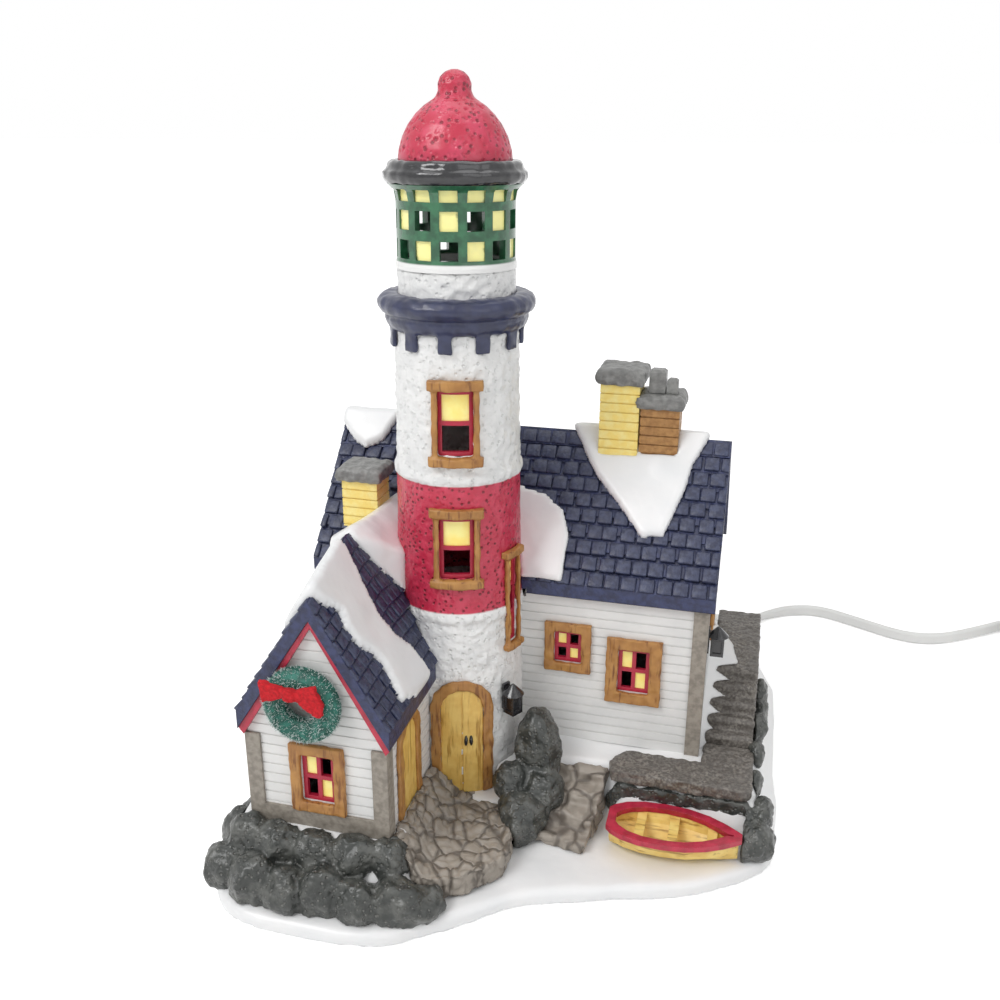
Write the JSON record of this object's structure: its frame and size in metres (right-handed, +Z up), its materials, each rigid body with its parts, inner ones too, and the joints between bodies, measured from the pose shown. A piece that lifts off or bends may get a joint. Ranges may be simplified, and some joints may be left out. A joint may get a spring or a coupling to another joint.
{
  "type": "lit ceramic lighthouse ornament",
  "caption": "Glazed ceramic lighthouse with a keeper's house, gabled wing, snow base and rowing boat, lit from inside by a clip-in lamp on a flat mains lead.",
  "frame": {"origin": "under the middle of the base, on the surface that the piece stands on", "axes": "+Z up, -Y the front with the tower door and the boat, +X to the right of someone who faces the piece"},
  "size_m": [0.3855, 0.2791, 0.235],
  "materials": {
    "snow": "glossy white glaze",
    "tower_white": "glossy white glaze with a red band",
    "navy_glaze": "glossy navy glaze",
    "green_glaze": "glossy dark green glaze",
    "black_glaze": "glossy black glaze",
    "raspberry_glaze": "glossy raspberry glaze",
    "tan_glaze": "satin tan glaze",
    "red_glaze": "glossy red glaze",
    "yellow_glaze": "satin yellow glaze",
    "wall_glaze": "satin off-white glaze",
    "roof_navy": "satin dark navy glaze",
    "post_taupe": "satin taupe glaze",
    "walk_grey": "speckled grey-brown glaze",
    "cobble": "satin taupe glaze",
    "rock_glaze": "dark greenish grey glaze",
    "yellow_brick": "satin yellow glaze",
    "brown_brick": "satin brown glaze",
    "cap_grey": "satin grey glaze",
    "wreath_green": "bristles with white tips",
    "bow_red": "flocked red",
    "white_plastic": "satin white",
    "clip_steel": "plain spring steel",
    "bulb_brass": "plain",
    "bulb_glass": "clear",
    "cord_white": "satin white",
    "tie_white": "satin",
    "blade_brass": "plain"
  },
  "bodies": {
    "casting": {"snow_base": "snow", "walk_snow": "snow", "roof_snow": "snow", "wing_snow": "snow", "tower": "tower_white", "gallery_ring": "navy_glaze", "lantern_room": "green_glaze", "lantern_rim": "black_glaze", "dome_cap": "raspberry_glaze", "tower_window_frames": "tan_glaze", "tower_window_sashes": "red_glaze", "tower_door_arch": "tan_glaze", "tower_door": "yellow_glaze", "house_walls": "wall_glaze", "house_roof": "roof_navy", "eave_trims": "red_glaze", "corner_boards": "post_taupe", "house_window_frames": "tan_glaze", "house_window_sashes": "red_glaze", "wing_walls": "wall_glaze", "wing_roof": "roof_navy", "rake_trim": "red_glaze", "wing_boards": "post_taupe", "gable_window_frame": "tan_glaze", "gable_window_sash": "red_glaze", "wing_door_arch": "tan_glaze", "wing_door": "yellow_glaze", "landing_door_arch": "tan_glaze", "landing_door": "yellow_glaze", "side_steps": "walk_grey", "lower_landing": "walk_grey", "front_steps": "cobble", "cobbled_path": "cobble", "wing_rocks": "rock_glaze", "tower_rocks": "rock_glaze", "walk_rocks": "rock_glaze", "saddle_chimney_shaft": "yellow_brick", "saddle_chimney_cap": "cap_grey", "tall_chimney_shaft": "yellow_brick", "tall_chimney_cap": "cap_grey", "brown_chimney_shaft": "brown_brick", "brown_chimney_cap": "cap_grey", "chimney_pots": "cap_grey", "wreath": "wreath_green", "wreath_bow": "bow_red", "wall_lanterns": "black_glaze", "boat_hull": "yellow_glaze", "boat_gunwale": "red_glaze", "boat_thwarts": "yellow_glaze"},
    "lamp": {"lamp_holder": "white_plastic", "holder_clip": "clip_steel", "strain_relief": "cord_white", "cord_lead": "cord_white", "cord_coil": "cord_white", "cord_tail": "cord_white", "coil_tie": "tie_white", "plug_body": "cord_white", "plug_blades": "blade_brass"},
    "bulb": {"bulb_base": "bulb_brass", "bulb_glass": "bulb_glass"}
  },
  "joints": [
    {"name": "lamp_slide", "type": "slide", "parent": "casting", "child": "lamp", "axis": [0, 1, 0], "range_m": [0, 0.06]},
    {"name": "bulb_screw", "type": "hinge", "parent": "lamp", "child": "bulb", "pos_m": [0.02, 0.046, 0.044], "axis": [0, 1, 0], "range_deg": [0, 1080]}
  ]
}
